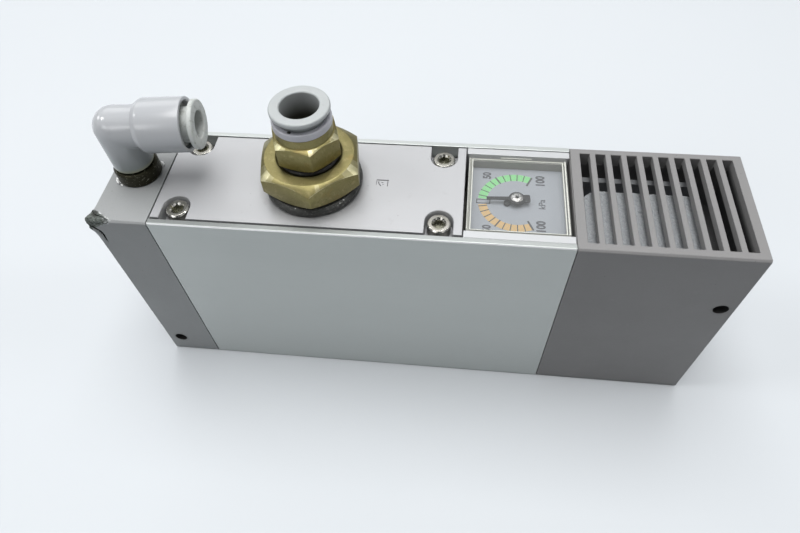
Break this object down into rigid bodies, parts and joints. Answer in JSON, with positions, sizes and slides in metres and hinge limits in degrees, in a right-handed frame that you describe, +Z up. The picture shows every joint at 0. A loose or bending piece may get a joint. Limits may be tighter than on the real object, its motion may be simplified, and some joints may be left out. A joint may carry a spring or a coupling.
{
  "type": "vacuum ejector",
  "caption": "Multistage vacuum ejector: extruded body with end covers, swivel push-in supply elbow, push-in vacuum port, square compound gauge and slotted silencer cover.",
  "frame": {"origin": "centre of the bottom face of the body", "axes": "+X from the supply end to the exhaust end, +Y across the body to the rear, +Z up towards the vacuum port"},
  "size_m": [0.1526, 0.032, 0.0851],
  "materials": {
    "anodised_aluminium": "satin",
    "cover_paint": "matte",
    "plate_finish": "satin",
    "bracket_finish": "satin",
    "black_rubber": "matte",
    "seal_washer": "matte",
    "screw_steel": "satin",
    "brass": "satin",
    "dark_brass": "satin",
    "grey_resin": "satin",
    "guide_resin": "satin",
    "stainless": "satin",
    "case_resin": "satin",
    "clear_window": "polished",
    "dial_print": "matte",
    "black_paint": "matte",
    "spindle_steel": "polished",
    "white_resin": "matte",
    "filter_felt": "matte",
    "felt_grey": "matte",
    "dark_resin": "matte"
  },
  "bodies": {
    "root": {"body_extrusion": "anodised_aluminium", "front_cover": "cover_paint", "exhaust_cover": "cover_paint", "suction_cover": "plate_finish", "front_cover_gasket": "black_rubber", "exhaust_cover_gasket": "black_rubber", "suction_cover_gasket": "black_rubber", "suction_cover_screws": "screw_steel", "front_cover_screws": "screw_steel", "exhaust_cover_screws": "screw_steel", "port_bushing": "brass", "port_seal_washer": "seal_washer", "port_fitting_body": "brass", "port_fitting_seal": "black_rubber", "port_fitting_guide": "grey_resin", "port_collet": "stainless", "port_tube_seal": "black_rubber", "elbow_stud": "dark_brass", "elbow_stud_seal": "black_rubber", "gauge_bracket": "bracket_finish", "gauge_case": "case_resin", "gauge_lens": "clear_window", "gauge_dial": "dial_print", "gauge_stop_pin": "black_paint", "gauge_bridge": "brass", "gauge_spiral_tube": "brass", "gauge_stem": "brass", "gauge_stem_seal": "black_rubber", "nozzle": "brass", "nozzle_seal": "black_rubber", "diffuser_1": "white_resin", "diffuser_2": "white_resin", "diffuser_3": "white_resin", "diffuser_seal": "black_rubber", "check_flap_2": "black_rubber", "check_flap_3": "black_rubber", "filter_holder": "white_resin", "suction_filter": "filter_felt", "silencer_felt": "felt_grey", "silencer_baffle": "dark_resin"},
    "elbow": {"elbow_body": "grey_resin", "elbow_guide": "guide_resin", "elbow_collet": "stainless", "elbow_tube_seal": "black_rubber"},
    "elbow_release": {"elbow_release_button": "grey_resin"},
    "port_release": {"port_release_button": "grey_resin"},
    "pointer": {"gauge_pointer": "black_paint", "gauge_arbor": "spindle_steel"}
  },
  "joints": [
    {"name": "elbow_swivel", "type": "hinge", "parent": "root", "child": "elbow", "pos_m": [-0.06925, 0, 0.066], "axis": [0, 0, 1], "continuous": true},
    {"name": "elbow_release_press", "type": "slide", "parent": "elbow", "child": "elbow_release", "axis": [-0.9942, -0.108, 0], "range_m": [0, 0.0012], "stiffness_N_per_m": 400},
    {"name": "port_release_press", "type": "slide", "parent": "root", "child": "port_release", "axis": [0, 0, -1], "range_m": [0, 0.0012], "stiffness_N_per_m": 400},
    {"name": "gauge_needle", "type": "hinge", "parent": "root", "child": "pointer", "pos_m": [0.02305, 0, 0.0585], "axis": [0, 0, 1], "range_deg": [-118, 112], "stiffness_Nm_per_rad": 0.0002}
  ]
}
